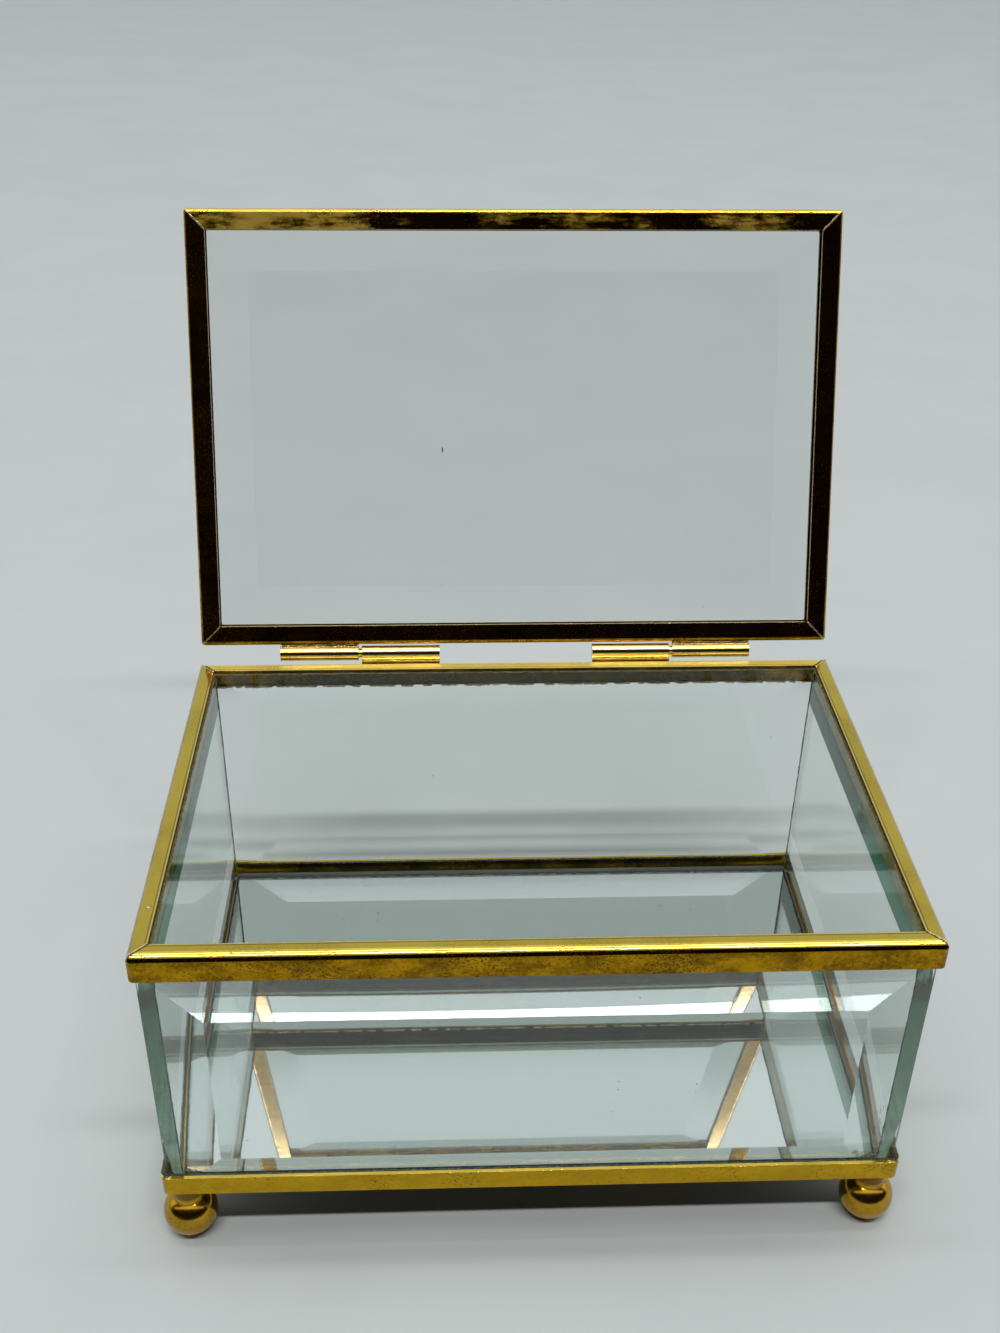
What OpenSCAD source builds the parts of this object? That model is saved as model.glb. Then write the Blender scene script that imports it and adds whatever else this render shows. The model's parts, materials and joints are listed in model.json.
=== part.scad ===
// Glass casket box: bevelled clear panes edged in polished brass, a mirror floor,
// four turned ball feet and a lid on two rear hinges, shown standing open.
// Millimetres, Z up. The front faces -Y and the feet stand on Z = 0. The origin lies
// on that floor, under the middle of the whole object with its lid open.

/* [Glass box] */
// Width of the front and back panes, which cover the ends of the side panes
glass_w = 151.5; // [125:0.5:240]
// Depth over the front and back panes
glass_d = 100.7; // [75:0.1:180]
// Height of the four upright panes
pane_h = 63.8; // [45:0.2:120]
// Thickness of every clear pane
pane_t = 3.2; // [2.8:0.1:5]
// Thickness of the mirror floor
mirror_t = 2.4; // [1.6:0.1:4]
// Gap around the mirror floor
mirror_gap = 0.4; // [0.2:0.1:1]

/* [Bevels] */
// Slope of every bevel
bevel_angle = 6.4; // [4:0.1:7.5]
// Front pane, bevel along the top
front_top_bevel = 16.6; // [6:0.1:20]
// Front pane, bevel along the bottom
front_bottom_bevel = 8.6; // [4:0.1:16]
// Front pane, bevel along each end
front_end_bevel = 11.8; // [4:0.1:18]
// Back pane, bevel along the top
back_top_bevel = 13.5; // [6:0.1:20]
// Back pane, bevel along the bottom
back_bottom_bevel = 12; // [4:0.1:18]
// Back pane, bevel along each end
back_end_bevel = 15.5; // [4:0.1:18]
// Side panes, bevel along the top
side_top_bevel = 11.1; // [6:0.1:18]
// Side panes, bevel along the bottom
side_bottom_bevel = 13; // [4:0.1:18]
// Lid pane, bevel all round
lid_bevel = 12.7; // [8:0.1:20]

/* [Brass edging] */
// Thickness of the brass strip
strip_t = 0.8; // [0.5:0.1:1.2]
// Width of the rim's flat top
rim_flange = 3.8; // [3:0.1:6]
// Height of the rim's upright face
rim_web = 6; // [5:0.1:10]
// Outer radius of the rim's long bend
rim_bend_r = 1.8; // [0.6:0.1:2.2]
// Least brass left between that bend's round and its square inner corner
rim_bend_wall = 0.3; // [0.1:0.1:0.3]
// Radius of the rim's and the lid's plan corners
plan_corner_r = 1.2; // [0.6:0.1:2]
// Height of the base frame's upright face
base_web = 4.8; // [3:0.1:9]
// Width of the ledge that carries the glass
base_flange = 7.2; // [6.4:0.1:12]
// Inner radius of the base frame's bent corners
base_corner_r = 0.7; // [0.5:0.1:3]

/* [Lid] */
// How far the lid stands back from the rim at each side
lid_side_inset = 0.3; // [0:0.1:1]
// How far the lid stands back from the rim at the front
lid_front_inset = 0.6; // [0:0.1:2]
// Width of the lid channel's flanges
lid_flange = 4.7; // [3:0.1:8]
// Outer radius of the lid channel's bends
lid_bend_r = 1; // [0.5:0.1:1.4]
// Gap between the rim and the closed lid
lid_gap = 0.3; // [0.2:0.1:0.6]
// Angle through which the lid stands open
open_angle = 110.6; // [95:0.2:120]

/* [Hinges] */
// Distance from each end of the rim to the hinge
hinge_inset = 19.4; // [10:0.1:21]
// Length of each hinge
hinge_len = 38.6; // [20:0.2:46]
// Outer diameter of the knuckles
barrel_d = 3.6; // [3.4:0.1:4.4]
// Diameter of the hinge pins
pin_d = 2.2; // [1:0.1:2.4]
// Thickness of the hinge leaves
leaf_t = 0.4; // [0.3:0.1:0.8]
// Height of the hinge axis above the rim
hinge_rise = 1; // [0.9:0.1:1.6]
// Gap between the two knuckles of a hinge
knuckle_gap = 0.8; // [0.3:0.1:2]
// Bare brass that each leaf leaves at the edge of the strip it lies on
leaf_margin = 0.5; // [0.2:0.1:1.5]

/* [Feet] */
// Height of the feet below the base frame
foot_h = 14.8; // [13.6:0.1:24]
// Widest diameter of the ball
foot_d = 11.4; // [9:0.1:13]
// Radius of the ball's profile
foot_ball_r = 5.4; // [4:0.1:5.6]
// Diameter of the small flat that each ball stands on
foot_flat_d = 3; // [2:0.1:5]
// Diameter of the neck above the ball
foot_neck_d = 6.6; // [4:0.1:8]
// Diameter of the collar under the base frame
foot_collar_d = 7.2; // [6.8:0.1:9]
// Height of that collar
foot_collar_h = 1; // [0.4:0.1:2]
// Diameter of the spigot that holds the foot in the base frame
spigot_d = 2.4; // [1.6:0.1:3]
// Distance from the foot's axis to the base frame's outer faces
foot_inset = 4.3; // [4.2:0.1:5.2]

/* [Fits] */
// Glue line between glass and its neighbours
glue_line = 0.1; // [0.05:0.05:0.2]
// Gap at each corner seam of the rim and the lid channel
seam_gap = 0.1; // [0.05:0.05:0.3]
// Clearance around the pins and spigots, measured on the radius
running_fit = 0.05; // [0.03:0.01:0.1]
// How far the lid pane stays from the inside of its channel
lid_pane_gap = 0.3; // [0.2:0.1:0.8]

/* [Hidden] */
$fn = 96;
cut = 1;

base_z = foot_h;
ledge_z = base_z + strip_t;
glass_z = ledge_z + glue_line;
rim_z = glass_z + pane_h + glue_line + strip_t;
lid_z = rim_z + lid_gap;
lid_h = 2 * (strip_t + glue_line) + pane_t;

// The bevelled ends of the front and back panes just clear the frame's round inner corners
corner_reach = base_corner_r - running_fit;
end_recess = min(corner_reach, min(front_end_bevel, back_end_bevel) * tan(bevel_angle));
corner_room = (end_recess + sqrt(2 * pow(corner_reach, 2) - pow(end_recess, 2))) / 2;
base_gap = max(glue_line, base_corner_r - corner_room);
base_w = glass_w + 2 * (base_gap + strip_t);
base_d = glass_d + 2 * (base_gap + strip_t);
rim_round = min(rim_bend_r, (strip_t * sqrt(2) - rim_bend_wall) / (sqrt(2) - 1));
rim_w = glass_w + 2 * (glue_line + strip_t);
rim_d = glass_d + 2 * (glue_line + strip_t);
lid_w = rim_w - 2 * lid_side_inset;
lid_d = rim_d - lid_front_inset;
lid_y = lid_front_inset / 2;

side_pane_w = glass_d - 2 * (pane_t + glue_line);
mirror_w = glass_w - 2 * (pane_t + mirror_gap);
mirror_d = glass_d - 2 * (pane_t + mirror_gap);
lid_pane_w = lid_w - 2 * (strip_t + lid_pane_gap);
lid_pane_d = lid_d - 2 * (strip_t + lid_pane_gap);

foot_x = base_w / 2 - foot_inset;
foot_y = base_d / 2 - foot_inset;
foot_ball_shift = foot_d / 2 - foot_ball_r;
foot_ball_z = sqrt(pow(foot_ball_r, 2) - pow(foot_flat_d / 2 - foot_ball_shift, 2));

hinge_y = rim_d / 2 + leaf_t + barrel_d / 2;
hinge_z = rim_z + hinge_rise;
hinge_x = (rim_w - hinge_len) / 2 - hinge_inset;
knuckle_len = (hinge_len - knuckle_gap) / 2;
inner_knuckle_x = hinge_x - (knuckle_len + knuckle_gap) / 2;
outer_knuckle_x = hinge_x + (knuckle_len + knuckle_gap) / 2;
// The solder that joins a leaf to its knuckle stops short of the bore
solder_run = leaf_t + barrel_d / 2 - pin_d / 2 - 2 * running_fit;

// Middle of the whole object, front to back, with the lid open
lid_run = hinge_y + rim_d / 2 - lid_front_inset;
lid_rise = lid_gap + lid_h - hinge_rise;
front_reach = max(base_d / 2, foot_y + foot_d / 2);
back_reach = hinge_y + lid_bend_r
    - (lid_run - lid_bend_r) * cos(open_angle)
    + (lid_rise - lid_bend_r) * sin(open_angle);
box_y = (front_reach - back_reach) / 2;

// Quarter turns that bring the front onto a side
function turns(side) = search([side], ["front", "right", "back", "left"])[0];

// True for the two sides that run along X
function long_side(side) = turns(side) % 2 == 0;

// Places its children, drawn around the middle of the box, in the part's frame
module on_box() {
    translate([0, box_y, 0])
        children();
}

// Swings its children, drawn with the lid closed, open about the hinge axis
module on_lid() {
    on_box()
        translate([0, hinge_y, hinge_z])
            rotate([-open_angle, 0, 0])
                translate([0, -hinge_y, -hinge_z])
                    children();
}

module brass() {
    color("goldenrod")
        children();
}

module clear_glass() {
    color([0.75, 0.88, 0.84, 0.4])
        children();
}

// Rectangle with four round corners
module rounded_rect(w, d, r) {
    square([w, d - 2 * r], center = true);
    square([w - 2 * r, d], center = true);
    for (x = [-1, 1], y = [-1, 1])
        translate([x * (w / 2 - r), y * (d / 2 - r)])
            circle(r);
}

// Takes one bevel off the -X edge of a pane that reaches that far from its middle
module bevel_cut(reach, bevel, span) {
    translate([bevel - reach, 0, pane_t])
        rotate([0, -bevel_angle, 0])
            translate([-bevel - cut, -span / 2 - cut, 0])
                cube([bevel + cut, span + 2 * cut, pane_t]);
}

// Pane lying flat and centred, with bevels = [left, front, right, back] on its upper face
module bevelled_pane(w, d, bevels) {
    difference() {
        translate([-w / 2, -d / 2, 0])
            cube([w, d, pane_t]);
        for (edge = [0 : 3]) {
            reach = edge % 2 == 0 ? w / 2 : d / 2;
            span = edge % 2 == 0 ? d : w;
            if (bevels[edge] > 0)
                rotate([0, 0, 90 * edge])
                    bevel_cut(reach, bevels[edge], span);
        }
    }
}

// Upright pane on one side of the box, bevelled on its outer face. The side panes have
// square ends, which the front and back panes cover
module wall_pane(side, reach, w, top, bottom, end) {
    clear_glass()
        on_box()
            rotate([0, 0, 90 * turns(side)])
                translate([0, pane_t - reach, glass_z + pane_h / 2])
                    rotate([90, 0, 0])
                        bevelled_pane(w, pane_h, [end, bottom, end, top]);
}

// One side of a mitred frame of outline w by d, with its profile as the child:
// x runs inwards from the outer face and y runs up
module mitred_side(side, w, d, tall) {
    along = long_side(side) ? w : d;
    reach = long_side(side) ? d / 2 : w / 2;
    half = along / 2 - seam_gap * sqrt(0.5);
    depth = min(half, 2 * tall);
    intersection() {
        rotate([0, 0, 90 * turns(side)])
            translate([0, -reach, 0])
                intersection() {
                    rotate([90, 0, 90])
                        linear_extrude(along, center = true)
                            children();
                    linear_extrude(2 * tall, center = true)
                        polygon([
                            [-half, 0],
                            [half, 0],
                            [half - depth, depth],
                            [depth - half, depth]
                        ]);
                }
        linear_extrude(2 * tall, center = true)
            rounded_rect(w, d, plan_corner_r);
    }
}

// Block with one rounded corner, which lies at the origin
module bent_corner(run, drop, r) {
    translate([r, -drop])
        square([run - r, drop]);
    translate([0, -drop])
        square([run, drop - r]);
    translate([r, -r])
        circle(r);
}

// Angle strip: flat on top, upright outside
module rim_profile() {
    difference() {
        bent_corner(rim_flange, rim_web, rim_round);
        translate([strip_t, -rim_web - cut])
            square([rim_flange, rim_web + cut - strip_t]);
    }
}

// Channel that grips the lid pane, standing on y = 0
module channel_profile() {
    difference() {
        intersection() {
            translate([0, lid_h])
                bent_corner(lid_flange, lid_h, lid_bend_r);
            mirror([0, 1])
                bent_corner(lid_flange, lid_h, lid_bend_r);
        }
        translate([strip_t, strip_t])
            square([lid_flange, lid_h - 2 * strip_t]);
    }
}

module rim_side(side) {
    brass()
        on_box()
            translate([0, 0, rim_z])
                mitred_side(side, rim_w, rim_d, rim_web + cut)
                    rim_profile();
}

module lid_side(side) {
    brass()
        on_lid()
            translate([0, lid_y, lid_z])
                mitred_side(side, lid_w, lid_d, lid_h + cut)
                    channel_profile();
}

// Cylinder along X, centred
module rod(d, length) {
    rotate([0, 90, 0])
        cylinder(d = d, h = length, center = true);
}

// Leaf and knuckle about the hinge axis. The leaf spans low to high and its solder
// spans low to high as well, both measured from the axis
module knuckle_leaf(leaf, solder, bore_d) {
    leaf_y = -barrel_d / 2 - leaf_t;
    difference() {
        union() {
            rod(barrel_d, knuckle_len);
            translate([-knuckle_len / 2, leaf_y, leaf[0]])
                cube([knuckle_len, leaf_t, leaf[1] - leaf[0]]);
            translate([-knuckle_len / 2, leaf_y, solder[0]])
                cube([knuckle_len, solder_run, solder[1] - solder[0]]);
        }
        rod(bore_d, knuckle_len + 2 * cut);
    }
}

// The rim's leaf is the inner knuckle of each hinge, gripping the pin
module rim_leaf(side) {
    top = lid_gap / 2 - hinge_rise;
    brass()
        on_box()
            translate([side * inner_knuckle_x, hinge_y, hinge_z])
                knuckle_leaf(
                    [leaf_margin - rim_web - hinge_rise, top],
                    [-barrel_d / 2, top],
                    pin_d
                );
}

// The lid's leaf is the outer knuckle of each hinge, turning on the pin
module lid_leaf(side) {
    bottom = 3 * lid_gap / 2 - hinge_rise;
    brass()
        on_lid()
            translate([side * outer_knuckle_x, hinge_y, hinge_z])
                knuckle_leaf(
                    [bottom, lid_rise - leaf_margin],
                    [bottom, barrel_d / 2 - leaf_margin],
                    pin_d + 2 * running_fit
                );
}

module hinge_pin(side) {
    brass()
        on_box()
            translate([side * hinge_x, hinge_y, hinge_z])
                rod(pin_d, hinge_len);
}

// Half outline of a foot: ball with a small flat, neck, collar and spigot
module foot_profile() {
    intersection() {
        translate([foot_ball_shift, foot_ball_z])
            circle(foot_ball_r);
        square([foot_d, foot_h]);
    }
    translate([0, foot_ball_z])
        square([foot_neck_d / 2, foot_h - foot_ball_z]);
    translate([0, foot_h - foot_collar_h])
        square([foot_collar_d / 2, foot_collar_h]);
    translate([0, foot_h])
        square([spigot_d / 2, strip_t - glue_line]);
}

module foot(x_side, y_side) {
    brass()
        on_box()
            translate([x_side * foot_x, y_side * foot_y, 0])
                rotate_extrude()
                    foot_profile();
}

// One strip bent round: an upright face and a ledge under the glass
module base_frame() {
    brass()
        on_box()
            translate([0, 0, base_z])
                difference() {
                    linear_extrude(base_web)
                        rounded_rect(base_w, base_d, base_corner_r + strip_t);
                    translate([0, 0, strip_t])
                        linear_extrude(base_web)
                            rounded_rect(base_w - 2 * strip_t, base_d - 2 * strip_t, base_corner_r);
                    linear_extrude(2 * base_web, center = true)
                        square([base_w - 2 * base_flange, base_d - 2 * base_flange], center = true);
                    for (x = [-1, 1], y = [-1, 1])
                        translate([x * foot_x, y * foot_y, 0])
                            cylinder(d = spigot_d + 2 * running_fit, h = 2 * base_web, center = true);
                }
}

module floor_mirror() {
    color("silver")
        on_box()
            translate([-mirror_w / 2, -mirror_d / 2, glass_z])
                cube([mirror_w, mirror_d, mirror_t]);
}

module front_glass() {
    wall_pane("front", glass_d / 2, glass_w, front_top_bevel, front_bottom_bevel, front_end_bevel);
}

module back_glass() {
    wall_pane("back", glass_d / 2, glass_w, back_top_bevel, back_bottom_bevel, back_end_bevel);
}

module left_glass() {
    wall_pane("left", glass_w / 2, side_pane_w, side_top_bevel, side_bottom_bevel, 0);
}

module right_glass() {
    wall_pane("right", glass_w / 2, side_pane_w, side_top_bevel, side_bottom_bevel, 0);
}

module lid_glass() {
    bevels = [lid_bevel, lid_bevel, lid_bevel, lid_bevel];
    clear_glass()
        on_lid()
            translate([0, lid_y, lid_z + strip_t + glue_line])
                bevelled_pane(lid_pane_w, lid_pane_d, bevels);
}

base_frame();
floor_mirror();
front_glass();
back_glass();
left_glass();
right_glass();
rim_side("front");  // rim_front
rim_side("back");  // rim_back
rim_side("left");  // rim_left
rim_side("right");  // rim_right
rim_leaf(-1);  // left_hinge_rim_leaf
rim_leaf(1);  // right_hinge_rim_leaf
hinge_pin(-1);  // left_hinge_pin
hinge_pin(1);  // right_hinge_pin
foot(-1, -1);  // foot_front_left
foot(1, -1);  // foot_front_right
foot(-1, 1);  // foot_back_left
foot(1, 1);  // foot_back_right
lid_glass();
lid_side("front");  // lid_frame_front
lid_side("back");  // lid_frame_back
lid_side("left");  // lid_frame_left
lid_side("right");  // lid_frame_right
lid_leaf(-1);  // left_hinge_lid_leaf
lid_leaf(1);  // right_hinge_lid_leaf
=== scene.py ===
"""Glass casket box: the finish of its brass, glass and mirror, its solder and glue, and a plain studio."""

import json
import math
import random

import bmesh
import bpy
from mathutils import Matrix, Vector


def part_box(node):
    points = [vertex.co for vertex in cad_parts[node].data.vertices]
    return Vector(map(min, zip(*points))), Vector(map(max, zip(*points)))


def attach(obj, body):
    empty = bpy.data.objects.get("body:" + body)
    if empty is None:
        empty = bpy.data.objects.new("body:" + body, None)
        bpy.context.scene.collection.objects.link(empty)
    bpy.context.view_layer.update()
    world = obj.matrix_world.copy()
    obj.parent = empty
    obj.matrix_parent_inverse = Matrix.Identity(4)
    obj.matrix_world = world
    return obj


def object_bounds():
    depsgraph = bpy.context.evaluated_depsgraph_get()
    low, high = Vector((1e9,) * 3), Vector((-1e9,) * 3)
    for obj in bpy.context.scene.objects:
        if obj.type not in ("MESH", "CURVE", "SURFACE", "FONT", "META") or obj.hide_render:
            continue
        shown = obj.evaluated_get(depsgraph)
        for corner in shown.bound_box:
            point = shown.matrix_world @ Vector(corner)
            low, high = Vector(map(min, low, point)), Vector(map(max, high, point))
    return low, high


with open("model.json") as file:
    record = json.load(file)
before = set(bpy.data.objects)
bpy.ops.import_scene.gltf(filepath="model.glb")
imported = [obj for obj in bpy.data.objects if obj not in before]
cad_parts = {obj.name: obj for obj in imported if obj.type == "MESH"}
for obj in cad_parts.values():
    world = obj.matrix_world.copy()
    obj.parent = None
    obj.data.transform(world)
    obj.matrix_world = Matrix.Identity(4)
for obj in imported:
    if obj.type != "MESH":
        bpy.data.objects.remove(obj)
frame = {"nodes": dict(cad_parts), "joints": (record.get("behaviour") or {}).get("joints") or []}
NODES = frame["nodes"]
CAD_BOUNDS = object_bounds()
LID_HINGE = frame["joints"][0]

bl_info = {
    "name": "Glass Casket Box",
    "version": (1, 0, 0),
    "blender": (4, 5, 0),
    "location": "3D View > Sidebar > Casket",
    "description": "Dresses a bevelled glass casket with brass edging, a mirror floor and ball feet",
    "category": "Object",
}

MM = 0.001
END_SWELL = 0.45  # thickness of a bead's ends, as a share of the rest
DROP_UNEVENNESS = 0.22  # how much a drop's outline wavers, as a share of its radius
SIDES = ("front", "back", "left", "right")
WALL_PANES = tuple(f"{side}_glass" for side in SIDES)
RIM_SIDES = tuple(f"rim_{side}" for side in SIDES)
LID_SIDES = tuple(f"lid_frame_{side}" for side in SIDES)
FEET = tuple(f"foot_{end}_{side}" for end in ("front", "back") for side in ("left", "right"))
HINGE_PARTS = tuple(
    f"{side}_hinge_{part}" for side in ("left", "right") for part in ("rim_leaf", "lid_leaf", "pin")
)
UP = Vector((0.0, 0.0, 1.0))
DOWN = Vector((0.0, 0.0, -1.0))
WHITE = (1.0, 1.0, 1.0, 1.0)


def colour_setting(name, description, default):
    """A colour that a user would change."""
    return bpy.props.FloatVectorProperty(
        name=name, description=description, subtype="COLOR", size=3, default=default
    )


def distance_setting(name, description, default):
    """A length that a user would change."""
    return bpy.props.FloatProperty(name=name, description=description, subtype="DISTANCE", default=default)


def angle_setting(name, description, degrees):
    """An angle that a user would change."""
    return bpy.props.FloatProperty(
        name=name, description=description, subtype="ANGLE", default=math.radians(degrees)
    )


class CasketFinish(bpy.types.PropertyGroup):
    """Colours and finishes of the casket"""

    # painted sheen: the strip's top is given a lighter, paler gold than its upright faces
    top_sheen_gold: colour_setting(
        "Top Sheen Gold", "Colour of the brass strip on top, painted lighter as sheen", (0.86, 0.62, 0.10)
    )
    # painted shade: the strip's upright faces are given a darker gold than its top
    side_shade_gold: colour_setting(
        "Side Shade Gold", "Colour of the brass strip on its upright faces", (0.50, 0.265, 0.004)
    )
    # painted shade: the base frame's upright faces are given a darker gold than its top
    base_gold: colour_setting("Base Gold", "Colour of the base frame's upright faces", (0.61, 0.36, 0.006))
    # colours the brass's specks, and also the painted shade on the feet's necks
    tarnish_and_shade: colour_setting("Tarnish and Shade", "Colour of the brass's brown specks and the painted shade on the feet's necks", (0.10, 0.042, 0.004))
    # painted shade on the strip's inner faces, which look into the box
    inner_face_shade: colour_setting(
        "Inner Face Shade", "Colour of the painted shade on the inner faces of the strip", (0.10, 0.072, 0.012)
    )
    foot_gold: colour_setting("Foot Gold", "Colour of the polished ball feet", (0.62, 0.35, 0.025))
    glass_tint: colour_setting(
        "Glass Tint", "Colour that the plate glass lets through over a long way", (0.34, 0.62, 0.49)
    )
    glass_depth: bpy.props.FloatProperty(
        name="Glass Depth",
        description="How fast the plate glass takes on its colour, per metre",
        default=35.0,
        min=0.0,
    )
    ground_glass: colour_setting(
        "Ground Glass", "Colour of the panes' ground lower edges", (0.34, 0.44, 0.38)
    )
    silver: colour_setting("Silver", "Colour of the mirror's silvering", (0.83, 0.84, 0.845))


class CasketJoints(bpy.types.PropertyGroup):
    """Sizes of the solder and glue"""

    silver_gap: distance_setting(
        "Silvering Gap", "Distance from the mirror plate to its silvering", 0.02 * MM
    )
    silver_thickness: distance_setting(
        "Silvering Thickness", "Thickness of the silvering with its backing paint", 0.05 * MM
    )
    seam_width: distance_setting("Seam Width", "Width of the solder line in a mitred corner", 0.4 * MM)
    seam_rise: distance_setting("Seam Rise", "How far the solder stands out of the strip", 0.05 * MM)
    plan_round: distance_setting(
        "Plan Round", "Radius of the rim's and the lid's corners, seen from above", 1.2 * MM
    )
    glue_width: distance_setting("Glue Width", "Width of the glue that shows along the strip", 0.45 * MM)
    corner_glue: distance_setting("Corner Glue", "Width of the glue in the upright inner corners", 0.4 * MM)
    bedding_inset: distance_setting(
        "Bedding Inset", "How deep the bedding behind the rim lies in the panes' skin", 0.04 * MM
    )


class CasketStudio(bpy.types.PropertyGroup):
    """Camera, floor and lights"""

    lens: bpy.props.FloatProperty(
        name="Lens",
        description="Focal length on a 36 mm sensor along the picture's long side",
        subtype="DISTANCE_CAMERA",
        default=39.316,
    )
    eye: bpy.props.FloatVectorProperty(
        name="Eye",
        description="Camera's place, from the middle of the rim's top",
        subtype="XYZ",
        unit="LENGTH",
        size=3,
        default=(-17.508 * MM, -250.659 * MM, 186.757 * MM),
    )
    pitch: angle_setting("Pitch", "Camera's tilt up from level", -31.972)
    yaw: angle_setting("Yaw", "Camera's turn to the left", -2.576)
    roll: angle_setting("Roll", "Camera's roll to the right", -0.823)
    floor_size: distance_setting("Floor Size", "Width and depth of the studio floor", 5.0)
    floor_colour: colour_setting("Floor Colour", "Colour of the studio floor", (0.56, 0.59, 0.585))
    lamp_distance: distance_setting("Lamp Distance", "Distance from the box to both rows of lamps", 4.0)
    front_power: bpy.props.FloatProperty(
        name="Front Row",
        description="Power of the row of lamps in front of the box, in watts",
        default=82.0,
        min=0.0,
    )
    upper_power: bpy.props.FloatProperty(
        name="Upper Row",
        description="Power of the row of lamps above the box, in watts",
        default=22.0,
        min=0.0,
    )


class Signal:
    """An output socket that arithmetic builds Math nodes on."""

    def __init__(self, graph, socket):
        self.graph = graph
        self.socket = socket

    def join(self, operation, *values):
        """A Math node on the values given, which this signal may be one of."""
        return self.graph.add("ShaderNodeMath", {"operation": operation}, dict(enumerate(values)))

    def larger(self, other):
        return self.join("MAXIMUM", self, other)

    def smaller(self, other):
        return self.join("MINIMUM", self, other)

    def __add__(self, other):
        return self.join("ADD", self, other)

    def __sub__(self, other):
        return self.join("SUBTRACT", self, other)

    def __rsub__(self, other):
        return self.join("SUBTRACT", other, self)

    def __mul__(self, other):
        return self.join("MULTIPLY", self, other)

    def __truediv__(self, other):
        return self.join("DIVIDE", self, other)

    def __rtruediv__(self, other):
        return self.join("DIVIDE", other, self)

    def __abs__(self):
        return self.join("ABSOLUTE", self)

    __radd__ = __add__
    __rmul__ = __mul__


class Graph:
    """The node tree of one material or of the world."""

    def __init__(self, owner):
        owner.use_nodes = True
        self.tree = owner.node_tree
        self.tree.nodes.clear()

    def add(self, kind, settings=None, values=None, output=0):
        """Adds a node, makes its settings, then fills its sockets with values or signals."""
        node = self.tree.nodes.new(kind)
        for name, value in (settings or {}).items():
            setattr(node, name, value)
        for name, value in (values or {}).items():
            if isinstance(value, Signal):
                self.tree.links.new(value.socket, node.inputs[name])
            else:
                node.inputs[name].default_value = value
        return Signal(self, node.outputs[output]) if len(node.outputs) else node

    def place(self):
        """Where a point lies in the object's own space, in metres."""
        return self.add("ShaderNodeTexCoord", output="Object")

    def facing(self):
        """The way a face looks, in the object's own space."""
        return self.add("ShaderNodeTexCoord", output="Normal")

    def vector(self, operation, first, second):
        """Vector arithmetic that gives a vector."""
        return self.add("ShaderNodeVectorMath", {"operation": operation}, {0: first, 1: second})

    def dot(self, first, second):
        """How far one vector points along another."""
        settings = {"operation": "DOT_PRODUCT"}
        return self.add("ShaderNodeVectorMath", settings, {0: first, 1: second}, output="Value")

    def part(self, vector, axis):
        """One part of a vector, named X, Y or Z."""
        return self.add("ShaderNodeSeparateXYZ", values={"Vector": vector}, output=axis)

    def noise(self, scale, detail=3.0, roughness=0.5, stretch=(1.0, 1.0, 1.0), shift=0.0):
        """Noise with features of about one over scale metres."""
        where = self.add(
            "ShaderNodeMapping",
            values={"Vector": self.place(), "Scale": stretch, "Location": (shift, shift, shift)},
        )
        values = {"Vector": where, "Scale": scale, "Detail": detail, "Roughness": roughness}
        return self.add("ShaderNodeTexNoise", values=values)

    def fade(self, signal, low, high):
        """0 below low, 1 above high and smooth between."""
        settings = {"interpolation_type": "SMOOTHSTEP"}
        values = {"Value": signal, "From Min": low, "From Max": high}
        return self.add("ShaderNodeMapRange", settings, values)

    def blend(self, factor, first, second):
        """Mixes two colours. Sockets 6 and 7 and output 2 are those of the Mix node's colours."""
        return self.add("ShaderNodeMix", {"data_type": "RGBA"}, {0: factor, 6: first, 7: second}, output=2)

    def bump(self, height, distance, strength, normal=None):
        """A normal that follows a height, on top of another normal if one is given."""
        values = {"Height": height, "Distance": distance, "Strength": strength}
        if normal is not None:
            values["Normal"] = normal
        return self.add("ShaderNodeBump", values=values)

    def principled(self, values):
        """The shader of brass, paint and glue alike."""
        return self.add("ShaderNodeBsdfPrincipled", values=values)

    def surface(self, shader, volume=None):
        """Makes a shader, and what fills the piece, the material's output."""
        values = {"Surface": shader}
        if volume is not None:
            values["Volume"] = volume
        self.add("ShaderNodeOutputMaterial", values=values)


def rgba(colour):
    """A colour with full opacity, as a colour socket takes it."""
    return (*colour, 1.0)


def darker(colour, share):
    """A colour at a share of its brightness, as a colour socket takes it."""
    return rgba(share * part for part in colour)


def new_material(name):
    """An empty material and its graph."""
    material = bpy.data.materials.new(name)
    return material, Graph(material)


def dress(node, material):
    """Gives every material slot of a CAD node or a new piece the same material."""
    mesh = node.data
    if not mesh.materials:
        mesh.materials.append(material)
    for slot in node.material_slots:
        slot.material = material


def object_from(name, build, material):
    """Makes an object whose mesh a function builds, and links it into the scene."""
    shape = bmesh.new()
    build(shape)
    bmesh.ops.recalc_face_normals(shape, faces=shape.faces)
    mesh = bpy.data.meshes.new(name)
    shape.to_mesh(mesh)
    shape.free()
    made = bpy.data.objects.new(name, mesh)
    bpy.context.scene.collection.objects.link(made)
    dress(made, material)
    return made


def new_piece(name, body, build, material):
    """Makes a piece that rides on a body and takes its finish from a material slot."""
    piece = object_from(name, build, material)
    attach(piece, body)
    return piece


def bead(shape, path, lift, width, height, rng, unevenness, sides=8):
    """Lays a closed bead of uneven thickness along a path, bulging along lift."""
    rings = []
    for index, point in enumerate(path):
        along = path[min(index + 1, len(path) - 1)] - path[max(index - 1, 0)]
        side = along.cross(lift).normalized()
        at_end = index in (0, len(path) - 1)
        swell = (END_SWELL if at_end else 1.0) * (1.0 + rng.uniform(-unevenness, unevenness))
        ring = []
        for step in range(sides):
            angle = 2 * math.pi * step / sides
            offset = side * (width / 2 * math.cos(angle)) + lift * (height * math.sin(angle))
            ring.append(shape.verts.new(point + offset * swell))
        rings.append(ring)
    for first, second in zip(rings, rings[1:]):
        for step in range(sides):
            after = (step + 1) % sides
            face = shape.faces.new((first[step], first[after], second[after], second[step]))
            face.smooth = True
    shape.faces.new(rings[0])
    shape.faces.new(list(reversed(rings[-1])))


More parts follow.
